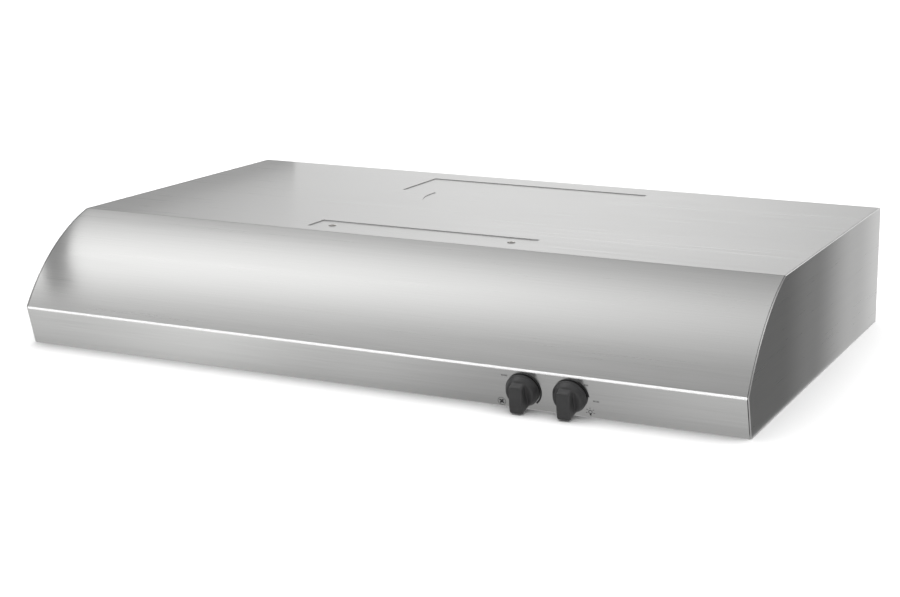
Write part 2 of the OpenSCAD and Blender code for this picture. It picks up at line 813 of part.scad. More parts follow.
// Sheet box under the top, open towards the back wall and closed below by its cover.
module wiring_box() {
    color("silver") difference() {
        block([wire_box_x0, wire_box_y, wire_box_z],
              [wire_box_x1, -2 * sheet_t, hood_h - 2 * sheet_t]);
        block([wire_box_x0 + sheet_t, wire_box_y + sheet_t, wire_box_z - 1],
              [wire_box_x1 - sheet_t, 0, hood_h - 3 * sheet_t]);
        translate([wire_box_x0 - 2, -30, 100]) rotate([0, 90, 0]) cylinder(r = 5, h = 8);
        translate([wire_box_x + 30, wire_box_y + 4, 108]) rotate([90, 0, 0])
            cylinder(r = 5, h = 8);
    }
    // tabs that take the cover's screws
    color("silver") for (x = [wire_box_x0 + sheet_t - tiny, wire_box_x1 - 9 + tiny])
        difference() {
            block([x, -40, wire_box_z], [x + 8, -30, wire_box_z + sheet_t]);
            translate([x + 4, -35, wire_box_z - 1]) cylinder(r = 1.55, h = 4);
        }
}

module wiring_box_cover() {
    color("silver") difference() {
        block([wire_box_x0 - 1, wire_box_y - 1, wire_box_z - sheet_t],
              [wire_box_x1 + 1, -2 * sheet_t, wire_box_z]);
        for (x = [wire_box_x0 + 5, wire_box_x1 - 5])
            translate([x, -35, wire_box_z - 3]) cylinder(r = 1.55, h = 6);
    }
}

module wiring_box_screws() {
    color("gray") for (x = [wire_box_x0 + 5, wire_box_x1 - 5])
        translate([x, -35, wire_box_z - sheet_t]) mirror([0, 0, 1]) screw(4, 3.2, 1.5);
}

// Snap bushing in the back wall, for the house cable.
module cable_entry_bushing() {
    color([0.15, 0.15, 0.15]) translate([wire_box_x, 0, entry_z]) rotate([90, 0, 0])
        difference() {
            union() {
                cylinder(r = entry_r + 2.98, h = 12);
                translate([0, 0, sheet_t + 0.02]) cylinder(r = entry_r + 5, h = 2);
            }
            translate([0, 0, -1]) cylinder(r = entry_r, h = 20);
        }
}

// Loom from the wiring box forward along the right side to the two switches.
module switch_harness() {
    color([0.1, 0.1, 0.1]) cable(switch_route, 3);
}

// Loom between the two lamps, along the top of the riser.
module lamp_harness() {
    color([0.1, 0.1, 0.1]) cable(lamp_route, 2.2);
}

// Loom from the wiring box to the motor, and the capacitor's leads.
module motor_harness() {
    color([0.1, 0.1, 0.1]) {
        cable(motor_route, 2.5);
        cable(capacitor_route, 2);
    }
}

// ---------------------------------------------------------------- nodes

placed() canopy_top_and_back();
placed() side_panel(-1);  // left_side_panel
placed() side_panel(1);  // right_side_panel
placed() front_skin();
placed() control_fascia();
placed() front_pan();
placed() rear_filter_rail();
placed() centre_filter_rail();
placed() side_filter_rail(-1);  // left_filter_rail
placed() side_filter_rail(1);  // right_filter_rail
placed() filter_magnets();
placed() pan_screws();
placed() blower_screws();
placed() blower_plate();
placed() scroll(-1);  // left_scroll
placed() scroll(1);  // right_scroll
placed() inlet_ring(-1);  // left_inlet_ring
placed() inlet_ring(1);  // right_inlet_ring
placed() blower_wheel(-1);  // left_blower_wheel
placed() blower_wheel(1);  // right_blower_wheel
placed() wheel_clamp_screws();
placed() discharge_box();
placed() motor_can();
placed() motor_end_cap();
placed() motor_shaft();
placed() motor_bushes();
placed() motor_bracket();
placed() motor_capacitor();
placed() capacitor_clip();
placed() filter_frame(-1);  // left_filter_frame
placed() filter_mesh(-1);  // left_filter_mesh
placed() filter_pull(-1);  // left_filter_pull
placed() filter_frame(1);  // right_filter_frame
placed() filter_mesh(1);  // right_filter_mesh
placed() filter_pull(1);  // right_filter_pull
placed() lamp_can(-1);  // left_lamp_can
placed() lamp_trim(-1);  // left_lamp_trim
placed() lamp_lens(-1);  // left_lamp_lens
placed() lamp_bulb(-1);  // left_lamp_bulb
placed() lamp_socket(-1);  // left_lamp_socket
placed() lamp_can(1);  // right_lamp_can
placed() lamp_trim(1);  // right_lamp_trim
placed() lamp_lens(1);  // right_lamp_lens
placed() lamp_bulb(1);  // right_lamp_bulb
placed() lamp_socket(1);  // right_lamp_socket
placed() knob(fan_x);  // fan_knob
placed() switch_shaft(fan_x);  // fan_switch_shaft
placed() rotary_switch(fan_x);  // fan_switch
placed() switch_nut(fan_x);  // fan_switch_nut
placed() knob(light_x);  // light_knob
placed() switch_shaft(light_x);  // light_switch_shaft
placed() rotary_switch(light_x);  // light_switch
placed() switch_nut(light_x);  // light_switch_nut
placed() wiring_box();
placed() wiring_box_cover();
placed() wiring_box_screws();
placed() cable_entry_bushing();
placed() switch_harness();
placed() lamp_harness();
placed() motor_harness();
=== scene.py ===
"""Under-cabinet range hood in brushed stainless steel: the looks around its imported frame."""

import json
import math

import bmesh
import bpy
from mathutils import Matrix, Vector


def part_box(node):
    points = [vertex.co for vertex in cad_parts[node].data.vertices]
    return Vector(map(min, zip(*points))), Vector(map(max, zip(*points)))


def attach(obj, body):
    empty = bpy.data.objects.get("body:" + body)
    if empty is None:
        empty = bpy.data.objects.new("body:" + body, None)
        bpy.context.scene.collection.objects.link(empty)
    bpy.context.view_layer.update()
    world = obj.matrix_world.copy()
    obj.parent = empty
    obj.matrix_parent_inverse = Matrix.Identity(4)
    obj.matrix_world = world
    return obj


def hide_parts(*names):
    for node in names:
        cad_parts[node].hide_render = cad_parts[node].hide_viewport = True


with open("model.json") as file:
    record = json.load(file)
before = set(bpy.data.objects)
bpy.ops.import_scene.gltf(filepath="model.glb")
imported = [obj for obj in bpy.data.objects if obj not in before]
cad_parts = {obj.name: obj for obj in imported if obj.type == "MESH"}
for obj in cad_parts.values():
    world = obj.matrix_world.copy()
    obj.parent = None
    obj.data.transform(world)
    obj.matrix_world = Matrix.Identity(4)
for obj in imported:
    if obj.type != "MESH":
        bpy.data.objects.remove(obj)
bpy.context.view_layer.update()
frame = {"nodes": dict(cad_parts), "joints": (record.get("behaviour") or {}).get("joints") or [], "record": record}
NODES = frame["nodes"]
RECORD = frame["record"]
MM = 0.001

# Sizes that the frame's boxes don't give, in metres. The fascia leans back at its foot.
SHEET = 1.0 * MM
SKIN_R = 190 * MM
TOP_DEPTH = 369 * MM
NOSE_DEPTH = 474 * MM
NOSE_Z = 39.5 * MM
FOOT_DEPTH = 462 * MM
HOOD_H = 124 * MM
LEDGE = 0.8 * MM
BACK_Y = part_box("canopy_top_and_back")[1].y
LEAN = math.atan2(NOSE_DEPTH - FOOT_DEPTH, NOSE_Z)
SLANT = math.hypot(NOSE_DEPTH - FOOT_DEPTH, NOSE_Z)


# ---------------------------------------------------------------- small tools

def linear(code):
    """An sRGB hex colour as linear RGBA."""
    parts = [int(code[i:i + 2], 16) / 255 for i in (1, 3, 5)]
    return [c / 12.92 if c <= 0.04045 else ((c + 0.055) / 1.055) ** 2.4 for c in parts] + [1]


def add(material, kind, links=None, **settings):
    """Adds a node to a material with its settings, its values and its links."""
    tree = material.node_tree
    made = tree.nodes.new(kind)
    for name, value in settings.items():
        setattr(made, name, value)
    for socket, value in (links or {}).items():
        if isinstance(value, bpy.types.NodeSocket):
            tree.links.new(value, made.inputs[socket])
        else:
            made.inputs[socket].default_value = value
    return made


def blank(name):
    """A new material with only its output node."""
    material = bpy.data.materials.new(name)
    material.use_nodes = True
    material.node_tree.nodes.clear()
    return material


def close(material, shader):
    """Ends a material's tree with its output."""
    add(material, "ShaderNodeOutputMaterial", {"Surface": shader.outputs[0]})
    return material


def deselect():
    bpy.ops.object.select_all(action="DESELECT")


def primitive(kind, name, **where):
    """Adds a primitive by its operator and returns it, alone selected and active."""
    deselect()
    getattr(bpy.ops.mesh, "primitive_" + kind + "_add")(**where)
    made = bpy.context.object
    made.name = name
    return made


def only(piece):
    deselect()
    piece.select_set(True)
    bpy.context.view_layer.objects.active = piece


def pick(piece, domain, test):
    """In edit mode, selects the faces, edges or verts whose place passes the test."""
    bpy.ops.mesh.select_mode(type={"faces": "FACE", "edges": "EDGE", "verts": "VERT"}[domain])
    bpy.ops.mesh.select_all(action="DESELECT")
    form = bmesh.from_edit_mesh(piece.data)
    for part in getattr(form, domain):
        part.select_set(bool(test(part)))
    form.select_flush_mode()
    bmesh.update_edit_mesh(piece.data)


def middle(edge):
    return (edge.verts[0].co + edge.verts[1].co) / 2


def apply_place(piece):
    only(piece)
    bpy.ops.object.transform_apply(location=True, rotation=True, scale=True)


def modify(piece, kind, **settings):
    """Adds a modifier and applies it."""
    only(piece)
    made = piece.modifiers.new(kind.title(), kind)
    for name, value in settings.items():
        setattr(made, name, value)
    bpy.ops.object.modifier_apply(modifier=made.name)


def carve(piece, operation, tool):
    """Applies one boolean and removes its tool."""
    modify(piece, "BOOLEAN", operation=operation, solver="EXACT", object=tool)
    bpy.data.objects.remove(tool)


def put(piece, matrix):
    """Moves a piece modelled at the origin to its place, kept in its mesh."""
    only(piece)
    piece.matrix_world = matrix
    bpy.context.view_layer.update()
    apply_place(piece)


def tidy_mesh(piece):
    """Merges doubles and turns the faces outwards."""
    only(piece)
    bpy.ops.object.mode_set(mode="EDIT")
    bpy.ops.mesh.select_all(action="SELECT")
    bpy.ops.mesh.remove_doubles(threshold=1e-6)
    bpy.ops.mesh.normals_make_consistent(inside=False)
    bpy.ops.object.mode_set(mode="OBJECT")


def smooth(piece, degrees=35):
    only(piece)
    bpy.ops.object.shade_smooth_by_angle(angle=math.radians(degrees))


def settle(piece, body, slot, material, *replaced):
    """Gives a finished piece its material and its body; the slot argument is not used."""
    piece.data.materials.clear()
    piece.data.materials.append(material)
    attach(piece, body)
    if replaced:
        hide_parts(*replaced)
    return piece


def copied(piece, name):
    """A copy with its own mesh."""
    twin = piece.copy()
    twin.data = piece.data.copy()
    twin.name = name
    bpy.context.scene.collection.objects.link(twin)
    return twin


# ---------------------------------------------------------------- materials

def brushed(name, grain, light, dark, roughness, streak_mm=1.1, length_mm=90.0,
            painted_highlight_mm=None):
    """Metal brushed along one axis: fine streaks vary its tone, its gloss and its height.

    The streaks of a 240 grit belt are about 0.1 mm wide; they are drawn coarser so that
    they show at all. Above the given height a fold's crest is painted white and matt, not
    metal: a painted highlight standing for the bright reflection along the fold.
    they show at all. Above the height painted_highlight_mm a fold's crest is blasted matt and bright.
    """
    material = blank(name)
    place = add(material, "ShaderNodeTexCoord")
    across = 1 / (streak_mm * MM)
    along = 1 / (length_mm * MM)
    size = [along if axis == grain else across for axis in "XYZ"]
    fine = add(material, "ShaderNodeMapping",
               {"Vector": place.outputs["Object"], "Scale": size})
    streaks = add(material, "ShaderNodeTexNoise",
                  {"Vector": fine.outputs[0], "Scale": 1.0, "Detail": 4.0, "Roughness": 0.65})
    broad = add(material, "ShaderNodeMapping",
                {"Vector": place.outputs["Object"], "Scale": [s / 7 for s in size]})
    bands = add(material, "ShaderNodeTexNoise",
                {"Vector": broad.outputs[0], "Scale": 1.0, "Detail": 2.0})
    both = add(material, "ShaderNodeMix",
               {0: 0.35, 2: streaks.outputs[0], 3: bands.outputs[0]}, data_type="FLOAT")
    tone = add(material, "ShaderNodeValToRGB", {"Fac": both.outputs[0]})
    tone.color_ramp.elements[0].position = 0.32
    tone.color_ramp.elements[0].color = linear(dark)
    tone.color_ramp.elements[1].position = 0.68
    tone.color_ramp.elements[1].color = linear(light)
    gloss = add(material, "ShaderNodeMapRange",
                {"Value": both.outputs[0], "From Min": 0.3, "From Max": 0.7,
                 "To Min": roughness - 0.04, "To Max": roughness + 0.05})
    relief = add(material, "ShaderNodeBump",
                 {"Height": both.outputs[0], "Strength": 0.06, "Distance": 0.05 * MM})
    along_grain = add(material, "ShaderNodeCombineXYZ",
                      {grain: 1.0})
    shader = add(material, "ShaderNodeBsdfPrincipled",
                 {"Base Color": tone.outputs[0], "Metallic": 1.0, "Anisotropic": 0.75,
                  "Anisotropic Rotation": 0.25, "Roughness": gloss.outputs[0],
                  "Normal": relief.outputs[0], "Tangent": along_grain.outputs[0]})
    # painted highlight: above the fold's height the colour turns white and the metal turns matt
    if painted_highlight_mm is not None:
        parts = add(material, "ShaderNodeSeparateXYZ", {0: place.outputs["Object"]})
        crest = add(material, "ShaderNodeMapRange",
                    {"Value": parts.outputs["Z"], "From Min": (painted_highlight_mm - 0.5) * MM,
                     "From Max": (painted_highlight_mm + 0.5) * MM, "To Min": 1.0, "To Max": 0.0})
        bright = add(material, "ShaderNodeMix", {0: crest.outputs[0], 6: linear("#FFFFFF"),
                                                 7: tone.outputs[0]}, data_type="RGBA")
        material.node_tree.links.new(bright.outputs[2], shader.inputs["Base Color"])
        material.node_tree.links.new(crest.outputs[0], shader.inputs["Metallic"])
    return close(material, shader)


def grained(name, light, dark, roughness, grain_mm, bump, metallic=0.0, **constants):
    """A moulded, cast, plated or painted surface: fine isotropic grain in tone and height."""
    material = blank(name)
    place = add(material, "ShaderNodeTexCoord")
    grain = add(material, "ShaderNodeTexNoise",
                {"Vector": place.outputs["Object"], "Scale": 1 / (grain_mm * MM),
                 "Detail": 3.0, "Roughness": 0.6})
    patches = add(material, "ShaderNodeTexNoise",
                  {"Vector": place.outputs["Object"], "Scale": 1 / (14 * grain_mm * MM),
                   "Detail": 2.0})
    both = add(material, "ShaderNodeMix",
               {0: 0.4, 2: grain.outputs[0], 3: patches.outputs[0]}, data_type="FLOAT")
    tone = add(material, "ShaderNodeValToRGB", {"Fac": both.outputs[0]})
    tone.color_ramp.elements[0].position = 0.35
    tone.color_ramp.elements[0].color = linear(dark)
    tone.color_ramp.elements[1].position = 0.65
    tone.color_ramp.elements[1].color = linear(light)
    gloss = add(material, "ShaderNodeMapRange",
                {"Value": both.outputs[0], "From Min": 0.3, "From Max": 0.7,
                 "To Min": max(roughness - 0.05, 0.02), "To Max": roughness + 0.06})
    relief = add(material, "ShaderNodeBump",
                 {"Height": grain.outputs[0], "Strength": bump, "Distance": 0.1 * MM})
    values = {"Base Color": tone.outputs[0], "Metallic": metallic,
              "Roughness": gloss.outputs[0], "Normal": relief.outputs[0]}
    values.update(constants)
    return close(material, add(material, "ShaderNodeBsdfPrincipled", values))


# Stainless sheet, belt-brushed from side to side: reflections smear up and down.
steel_wide = brushed("Brushed_304_stainless_across", "X", "#DBDBDA", "#D2D2D1", 0.30)
# The side panels' sheet is brushed from front to back.
steel_deep = brushed("Brushed_304_stainless_deep", "Y", "#DBDBDA", "#D0D0CF", 0.30)
# The fascia: as the sheet, with a painted highlight, a matt white line, along its top fold.
steel_fascia = brushed("Brushed_304_stainless_fascia", "X", "#DBDBDA", "#D2D2D1", 0.17,
                       painted_highlight_mm=37.7)
# The plain printed marks: screen-printed ink, matt and nearly black.
ink = grained("Screen_printed_black_ink", "#2A2A2B", "#1F1F20", 0.55, 0.8, 0.05)
SLOT_LOOKS = {
    "stainless_sheet": steel_wide,
    "stainless_front": steel_wide,
    # Zinc plate on folded steel: pale, faintly mottled.
    "plated_steel": grained("Zinc_plated_sheet_steel", "#B9BCBF", "#9EA2A6", 0.34, 2.5,
                            0.05, metallic=1.0),
    # Nickel-plated screws: bright, slightly warm.
    "plated_screws": grained("Nickel_plated_steel", "#B8B5B0", "#95928E", 0.25, 0.7, 0.05,
                             metallic=1.0),
    # Black oxide: dark steel with a low sheen.
    "black_screws": grained("Black_oxide_steel", "#2B2B2D", "#1C1C1E", 0.4, 0.6, 0.08,
                            metallic=0.8),
    # Baked grey enamel on the motor.
    "motor_steel": grained("Grey_baked_enamel", "#5C5F62", "#4D5053", 0.38, 1.2, 0.12),
    # Porous sintered bronze.
    "bronze": grained("Sintered_bronze", "#A87B4A", "#8A6238", 0.45, 0.5, 0.2, metallic=1.0),
    # Ferrite in its moulded jacket.
    "magnet": grained("Moulded_ferrite", "#3A3A3C", "#2B2B2D", 0.6, 0.9, 0.2),
    # Glass-filled polypropylene, charcoal.
    "wheel_plastic": grained("Glass_filled_polypropylene", "#3B3C3E", "#2E2F31", 0.5, 1.0,
                             0.12),
    # The capacitor's moulded case: white with a soft sheen.
    "white_plastic": grained("White_polypropylene", "#E2E2DE", "#D4D4D0", 0.42, 1.2, 0.08),
    # Mill-finish channel of the filter frames: grey, drawn along its length.
    "aluminium_frame": brushed("Roll_formed_aluminium", "X", "#C6C8CA", "#AEB0B3", 0.36),
    # Slit and stretched foil: grey strands that glint where they twist.
    "aluminium_mesh": grained("Expanded_aluminium_foil", "#B4B6B8", "#85888B", 0.38, 3.0,
                              0.6, metallic=1.0),
    # Frosted lamp glass, thin and milky.
    "lamp_glass": grained("Frosted_glass", "#F4F4EE", "#E8E8E0", 0.35, 1.0, 0.1,
                          **{"Transmission Weight": 0.25, "IOR": 1.5}),
    # The lamp's coated envelope: a smooth warm white.
    "lamp_bulb": grained("Aluminised_lamp_envelope", "#EDEBE2", "#DEDCD2", 0.3, 1.5, 0.03),
    # Glazed steatite: cream, with a hard gloss.
    "socket_ceramic": grained("Glazed_steatite", "#E6E1D4", "#D8D2C3", 0.3, 1.5, 0.05),
    # Spark-textured ABS of the knobs: charcoal with a soft sheen.
    "knob_plastic": grained("Spark_textured_ABS", "#393939", "#313132", 0.40, 0.45, 0.12),
    # Pressed phenolic: brown, with a dull gloss.
    "switch_plastic": grained("Phenolic_moulding", "#4A3324", "#3A281C", 0.4, 1.0, 0.1),
    # Extruded vinyl: nearly black, slightly waxy.
    "cable_jacket": grained("PVC_cable_jacket", "#2A2A2B", "#202021", 0.45, 1.5, 0.1),
    # Moulded nylon: black and a little glossier on its rim.
    "entry_rubber": grained("Moulded_nylon_bushing", "#242425", "#1A1A1B", 0.5, 1.0, 0.1),
}
NODE_LOOKS = {"left_side_panel": steel_deep, "right_side_panel": steel_deep,
              "control_fascia": steel_fascia}
SLOT_OF = {entry["node"]: entry["material_slot"] for entry in RECORD["subparts"]}
for name, part in NODES.items():
    part.data.materials.clear()
    part.data.materials.append(NODE_LOOKS.get(name, SLOT_LOOKS[SLOT_OF[name]]))


# ---------------------------------------------------------------- curved skin

def curved_skin():
    """The front skin as one rolled sheet: a fold line spun about the circle's centre."""
    low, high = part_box("front_skin")
    fold = Vector((0, BACK_Y - TOP_DEPTH, HOOD_H))
    nose = Vector((0, BACK_Y - NOSE_DEPTH, NOSE_Z))
    chord = nose - fold
    outwards = Vector((0, chord.z, -chord.y)).normalized()
    reach = math.sqrt(SKIN_R ** 2 - chord.length ** 2 / 4)
    centre = (fold + nose) / 2 - outwards * reach
    foot_z = low.z
    start = math.atan2(fold.z - centre.z, centre.y - fold.y)
    end = math.asin((foot_z - centre.z) / SKIN_R)
    sheet = primitive("plane", "curved_skin", size=1)
    bpy.ops.object.mode_set(mode="EDIT")
    pick(sheet, "verts", lambda v: v.co.y > 0)
    bpy.ops.mesh.delete(type="VERT")
    bpy.ops.object.mode_set(mode="OBJECT")
    sheet.scale = (high.x - low.x, 1, 1)
    sheet.location = ((high.x + low.x) / 2, fold.y, fold.z)
    apply_place(sheet)
    shift = fold.y - sheet.data.vertices[0].co.y
    put(sheet, Matrix.Translation((0, shift, 0)))
    bpy.ops.object.mode_set(mode="EDIT")
    bpy.ops.mesh.select_all(action="SELECT")
    bpy.ops.mesh.spin(steps=96, angle=start - end, center=centre, axis=(-1, 0, 0))
    # the tuck under the top sheet: a small step down, then back under it
    pick(sheet, "edges", lambda e: middle(e).z > HOOD_H - 1e-5)
    for step in ((0, 0.5 * MM, -SHEET), (0, 15 * MM, 0)):
        bpy.ops.mesh.extrude_region_move(TRANSFORM_OT_translate={"value": step})
    bpy.ops.object.mode_set(mode="OBJECT")
    tidy_mesh(sheet)
    if sum(face.normal.y for face in sheet.data.polygons) > 0:
        sheet.data.flip_normals()
    modify(sheet, "SOLIDIFY", thickness=SHEET * 0.96, offset=-1.0, use_even_offset=True)
    smooth(sheet, 14)
    return settle(sheet, "hood", "stainless_front", steel_wide, "front_skin")


curved_skin()


# ---------------------------------------------------------------- knobs

def on_fascia(x, s):
    """Place of a point on the fascia, s down its slope: +Y up the slope, +Z outwards."""
    spot = Vector((x, BACK_Y - NOSE_DEPTH - LEDGE + s * math.sin(LEAN),
                   NOSE_Z - s * math.cos(LEAN)))
    return Matrix.Translation(spot) @ Matrix.Rotation(math.pi / 2 + LEAN, 4, "X")


SKIRT_R = 16 * MM
SKIRT_H = 2.6 * MM
SKIRT_GAP = 0.6 * MM
KNOB_H = 20.6 * MM
GRIP_FOOT = 3.4 * MM
GRIP_W = 13 * MM
GRIP_FLARE = 1.4 * MM
GRIP_TAPER = 0.10
GRIP_UP = 11.5 * MM
GRIP_DOWN = 13.8 * MM
GRIP_EDGE_R = 2.0 * MM
CREST_DROP = 4.2 * MM
CREST_START = -6 * MM
MOULD_VOXEL = 0.34 * MM
# each step of the crown: how far it shrinks, and how far it rises in millimetres
CROWN_STEPS = ((0.955, 0.1), (0.985, 1.6), (0.93, 2.4), (0.95, 1.2), (0.92, 0.6))
KNOB_S = SLANT / 2
KNOB_X = {joint["child"]: joint["pos_m"][0] for joint in frame["joints"]
          if joint["name"].endswith("knob_turn")}


def knob():
    """A moulded knob: skirt, raised crown and a bar grip that points down at rest."""
    crown = primitive("cylinder", "knob", vertices=96, radius=SKIRT_R, depth=SKIRT_H,
                      location=(0, 0, SKIRT_GAP + SKIRT_H / 2))
    apply_place(crown)
    bpy.ops.object.mode_set(mode="EDIT")
    pick(crown, "faces", lambda f: f.normal.z > 0.9)
    for shrink, lift in CROWN_STEPS:
        bpy.ops.mesh.extrude_region_move(TRANSFORM_OT_translate={"value": (0, 0, lift * MM)})
        bpy.ops.transform.resize(value=(shrink, shrink, 1))
    bpy.ops.object.mode_set(mode="OBJECT")
    grip = primitive("cube", "grip", size=1)
    grip.scale = (GRIP_W + GRIP_FLARE, GRIP_UP + GRIP_DOWN, KNOB_H - GRIP_FOOT)
    grip.location = (0, (GRIP_UP - GRIP_DOWN) / 2, (KNOB_H + GRIP_FOOT) / 2)
    apply_place(grip)
    modify(grip, "BEVEL", width=GRIP_EDGE_R, segments=4, limit_method="NONE")
    bpy.ops.object.mode_set(mode="EDIT")
    bpy.ops.mesh.select_all(action="SELECT")
    bpy.ops.mesh.subdivide(number_cuts=4)
    bpy.ops.object.mode_set(mode="OBJECT")
    # the grip narrows outwards, and its crest falls towards its upper end
    for v in grip.data.vertices:
        up = (v.co.z - GRIP_FOOT) / (KNOB_H - GRIP_FOOT)
        v.co.x *= 1 - GRIP_TAPER * min(1, 1.6 * up)
        slope = max(0, (v.co.y - CREST_START) / (GRIP_UP - CREST_START))
        v.co.z -= CREST_DROP * up * slope
        if v.co.y > 0:
            v.co.y *= 1 + GRIP_TAPER * (1 - up) ** 2
    carve(crown, "UNION", grip)
    # the mould's fillets: an even mesh, relaxed
    modify(crown, "REMESH", mode="VOXEL", voxel_size=MOULD_VOXEL)
    modify(crown, "SMOOTH", factor=0.5, iterations=16)
    modify(crown, "DECIMATE", ratio=0.4)
    smooth(crown, 60)
    return crown


first = knob()
for body, node in (("fan_control", "fan_knob"), ("light_control", "light_knob")):
    piece = copied(first, node + "_moulding")
    put(piece, on_fascia(KNOB_X[body], KNOB_S))
    settle(piece, body, "knob_plastic", SLOT_LOOKS["knob_plastic"], node)
bpy.data.objects.remove(first)


# ---------------------------------------------------------------- printed marks

PRINT_T = 0.06 * MM


def disc(name, radius, x=0.0, y=0.0, height=PRINT_T):
    """A printed dot, in millimetres, about the origin of the print's own plane."""
    made = primitive("cylinder", name, vertices=64, radius=radius * MM, depth=height,
                     location=(x * MM, y * MM, 0))
    apply_place(made)
    return made


def bar(name, length, width, x, y, angle):
    """A printed stroke."""
    made = primitive("cube", name, size=1)
    made.scale = (length * MM, width * MM, PRINT_T)
    made.rotation_euler = (0, 0, math.radians(angle))
    made.location = (x * MM, y * MM, 0)
    apply_place(made)
    return made


def printed(piece, x, s_mm):
    """Lays a finished mark on the fascia."""
    put(piece, on_fascia(x * MM, s_mm * MM))
    settle(piece, "hood", "knob_plastic", ink)


def crescent(name, x, start, end):
    """A swelling line round a knob, thin at the start angle and thick at the end angle."""
    inner, thick = 16.7, 1.5
    made = disc(name, inner + thick)
    swell = math.radians(end)
    shift = -thick * 0.55
    carve(made, "DIFFERENCE",
          disc("core", inner + thick * 0.42, shift * math.cos(swell), shift * math.sin(swell),
               1 * MM))
    span = end - start
    for angle in range(0, 360 - int(abs(span)), 20):
        side = math.radians(end + math.copysign(10 + angle, span))
        wedge = primitive("cube", "wedge", size=1)
        wedge.scale = (30 * MM, 7.2 * MM, 1 * MM)
        wedge.rotation_euler = (0, 0, side)
        wedge.location = (15 * MM * math.cos(side), 15 * MM * math.sin(side), 0)
        apply_place(wedge)
        carve(made, "DIFFERENCE", wedge)
    printed(made, x, KNOB_S / MM)


def fan_sign(x, s_mm):
    """Four blades in a ring."""
    made = disc("fan_sign", 4.0)
    carve(made, "DIFFERENCE", disc("hole", 3.6, height=1 * MM))
    for turn in range(4):
        angle = math.radians(45 + 90 * turn)
        blade = disc("blade", 1.0)
        blade.scale = (1.35, 0.75, 1)
        blade.rotation_euler = (0, 0, angle + 0.5)
        blade.location = (1.55 * MM * math.cos(angle), 1.55 * MM * math.sin(angle), 0)
        apply_place(blade)
        carve(made, "UNION", blade)
    carve(made, "UNION", disc("hub", 0.7))
    printed(made, x, s_mm)


def lamp_sign(x, s_mm):
    """A small lamp with five rays."""
    made = disc("lamp_sign", 1.9)
    carve(made, "DIFFERENCE", disc("hole", 1.35, height=1 * MM))
    carve(made, "UNION", bar("base", 1.5, 1.9, 0, -2.7, 0))
    for ray in range(5):
        angle = math.radians(-15 + 52.5 * ray)
        carve(made, "UNION", bar("ray", 1.5, 0.5, 3.7 * math.cos(angle),
                                 3.7 * math.sin(angle), math.degrees(angle)))
    printed(made, x, s_mm)


def step_mark(name, x, s_mm, steps):
    """A row of short upright ticks that stands for a speed or a brightness."""
    pitch = 1.25
    made = bar(name, 0.55, 1.7, -pitch * (steps - 1) / 2, 0, 0)
    for step in range(1, steps):
        carve(made, "UNION", bar("tick", 0.55, 1.7, pitch * (step - (steps - 1) / 2), 0, 0))
    printed(made, x, s_mm)


crescent("fan_scale", KNOB_X["fan_control"] / MM, 120, -50)
crescent("lamp_scale", KNOB_X["light_control"] / MM, 70, 0)
fan_sign(147.2, 36.2)
lamp_sign(233.1, 35.2)
step_mark("fan_step_mark", 153.0, 8.2, 5)
step_mark("lamp_low_mark", 231.8, 7.7, 3)
step_mark("lamp_high_mark", 239.6, 23.5, 5)


# ---------------------------------------------------------------- filter mesh

def expanded_layer(name, node, shift, height):
    """One layer of expanded metal: a grid turned into diamonds, then into strands."""
    low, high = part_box(node)
    strand = 0.9 * MM
    cells = (30, 54)
    made = primitive("grid", name, x_subdivisions=cells[0], y_subdivisions=cells[1], size=1)
    made.scale = (high.x - low.x - 2 * strand, high.y - low.y - 2 * strand, 1)
    apply_place(made)
    bpy.ops.object.mode_set(mode="EDIT")
    bpy.ops.mesh.select_all(action="SELECT")
    bpy.ops.mesh.poke()
    pick(made, "edges", lambda e: not e.is_boundary
         and min(abs(e.verts[0].co.x - e.verts[1].co.x),
                 abs(e.verts[0].co.y - e.verts[1].co.y)) < 1e-6)
    bpy.ops.mesh.dissolve_edges(use_verts=False)
    if shift:
        pick(made, "verts", lambda v: not v.is_boundary)
        bpy.ops.transform.translate(value=(shift * MM, 0, 0))
    bpy.ops.object.mode_set(mode="OBJECT")
    modify(made, "WIREFRAME", thickness=strand, use_even_offset=False)
    squash = 0.45 * MM / strand
    for v in made.data.vertices:
        v.co.z *= squash
    put(made, Matrix.Translation(((low.x + high.x) / 2, (low.y + high.y) / 2,
                                  low.z + height * MM)))
    return made


for side in ("left", "right"):
    node = side + "_filter_mesh"
    for layer, (shift, height) in enumerate(((0, 0.3), (2.6, 0.85))):
        sheet = expanded_layer(node + "_layer_" + str(layer), node, shift, height)
        settle(sheet, side + "_filter", "aluminium_mesh", SLOT_LOOKS["aluminium_mesh"],
               *([node] if layer == 0 else []))


# ---------------------------------------------------------------- stage

def paper():
    """Matt white paper, clear from below so that the underside can be looked at."""
    material = blank("Matt_white_paper")
    white = add(material, "ShaderNodeBsdfDiffuse", {"Color": linear("#FDFDFD")})
    clear = add(material, "ShaderNodeBsdfTransparent")
    side = add(material, "ShaderNodeNewGeometry")
    return close(material, add(material, "ShaderNodeMixShader",
                               {0: side.outputs["Backfacing"], 1: white.outputs[0],
                                2: clear.outputs[0]}))


floor = primitive("plane", "floor", size=24, location=(0, 0, 0))
floor.data.materials.append(paper())
# the card wide_flag stands in for the floor in the metal's reflections
floor.visible_glossy = False


